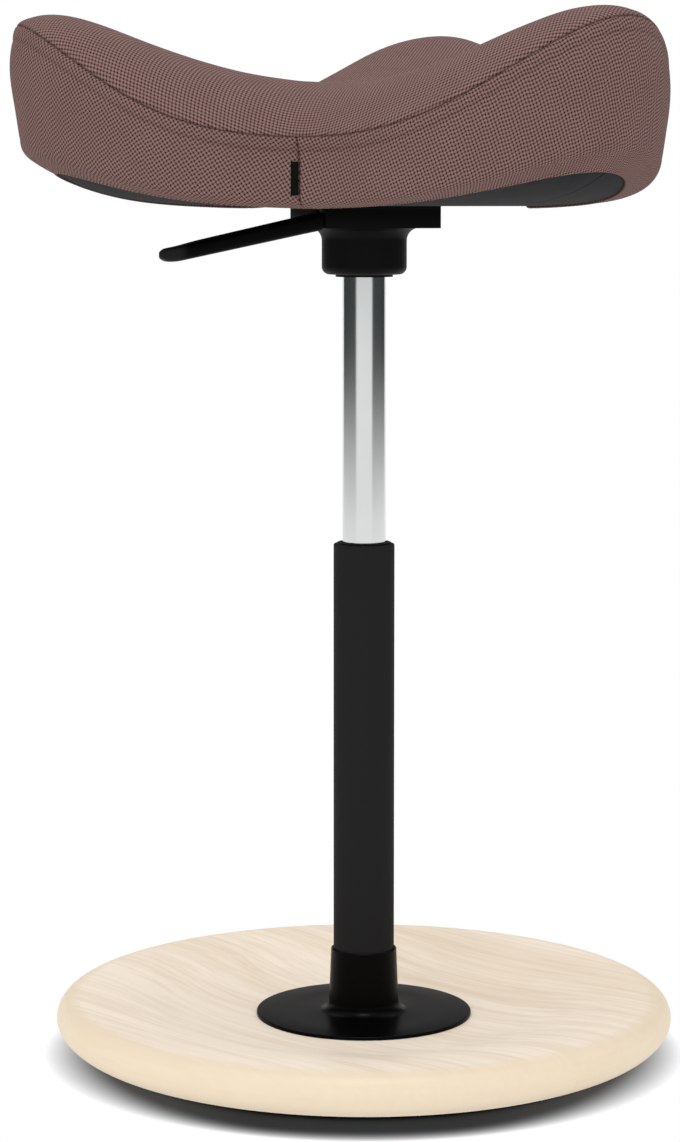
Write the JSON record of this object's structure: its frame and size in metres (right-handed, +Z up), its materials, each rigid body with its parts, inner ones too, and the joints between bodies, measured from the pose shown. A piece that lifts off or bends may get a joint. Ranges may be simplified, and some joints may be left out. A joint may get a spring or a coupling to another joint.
{
  "type": "perch stool",
  "caption": "Height adjustable perch stool: three lobed saddle seat on a gas spring column with a release lever and a round dished wooden foot.",
  "frame": {"origin": "centre of the rocker pad's flat face, on the floor, on the column axis", "axes": "+Z up along the column, one seat lobe and the lever under it towards -X"},
  "size_m": [0.4244, 0.4146, 0.6659],
  "materials": {
    "wood": "clear lacquered pale ash, open grain",
    "rubber": "moulded matt rubber",
    "black_metal": "fine satin black powder coat",
    "steel": "ground and polished steel",
    "hardened_steel": "plain hardened steel",
    "zinc": "zinc plated steel",
    "aluminium": "machined aluminium",
    "black_plastic": "fine grained black plastic",
    "white_plastic": "natural acetal",
    "shell_plastic": "moulded shell",
    "foam": "cold cured foam",
    "fabric": "dusty mauve basket weave",
    "cloth": "dark grey underside cloth",
    "label": "black woven tab, bare"
  },
  "bodies": {
    "base": {"base_disc": "wood", "rocker_pad": "rubber", "hub_flange": "black_metal", "foot_screws": "zinc", "foot_washers": "zinc", "stand_tube": "black_metal", "tube_bottom_plate": "zinc", "guide_bush": "black_plastic", "bearing_race_lower": "hardened_steel", "bearing_balls": "hardened_steel", "bearing_cage": "white_plastic"},
    "rod": {"piston_rod": "steel", "retaining_clip": "hardened_steel", "bearing_race_upper": "hardened_steel", "bump_stop": "rubber", "piston": "aluminium", "piston_ring": "white_plastic", "piston_nut": "zinc"},
    "seat": {"gas_cylinder": "steel", "rod_guide": "black_plastic", "rod_seal": "rubber", "pressure_sleeve": "zinc", "valve_body": "aluminium", "valve_ring": "rubber", "mechanism_body": "black_metal", "seat_plate": "black_metal", "cup_cover": "black_plastic", "pivot_pin": "hardened_steel", "seat_bolts": "zinc", "seat_nuts": "zinc", "seat_shell": "shell_plastic", "seat_foam": "foam", "cover_top": "fabric", "cover_side": "fabric", "underside_cloth": "cloth", "label_tab": "label"},
    "lever_arm": {"lever": "black_plastic"},
    "valve_pin": {"release_pin": "hardened_steel"}
  },
  "joints": [
    {"name": "seat_swivel", "type": "hinge", "parent": "base", "child": "rod", "pos_m": [0, 0, 0.0206], "axis": [0, 0, 1], "continuous": true},
    {"name": "seat_lift", "type": "slide", "parent": "rod", "child": "seat", "axis": [0, 0, 1], "range_m": [-0.16, 0.01]},
    {"name": "lever_lift", "type": "hinge", "parent": "seat", "child": "lever_arm", "pos_m": [-0.022, 0, 0.5426], "axis": [0, 1, 0], "range_deg": [0, 7], "stiffness_Nm_per_rad": 1, "springref_deg": -17.19},
    {"name": "valve_press", "type": "slide", "parent": "seat", "child": "valve_pin", "axis": [0, 0, -1], "range_m": [0, 0.003]}
  ],
  "couplings": [
    {"joint": "valve_press", "follows": "lever_lift", "m_per_rad": 0.022}
  ]
}
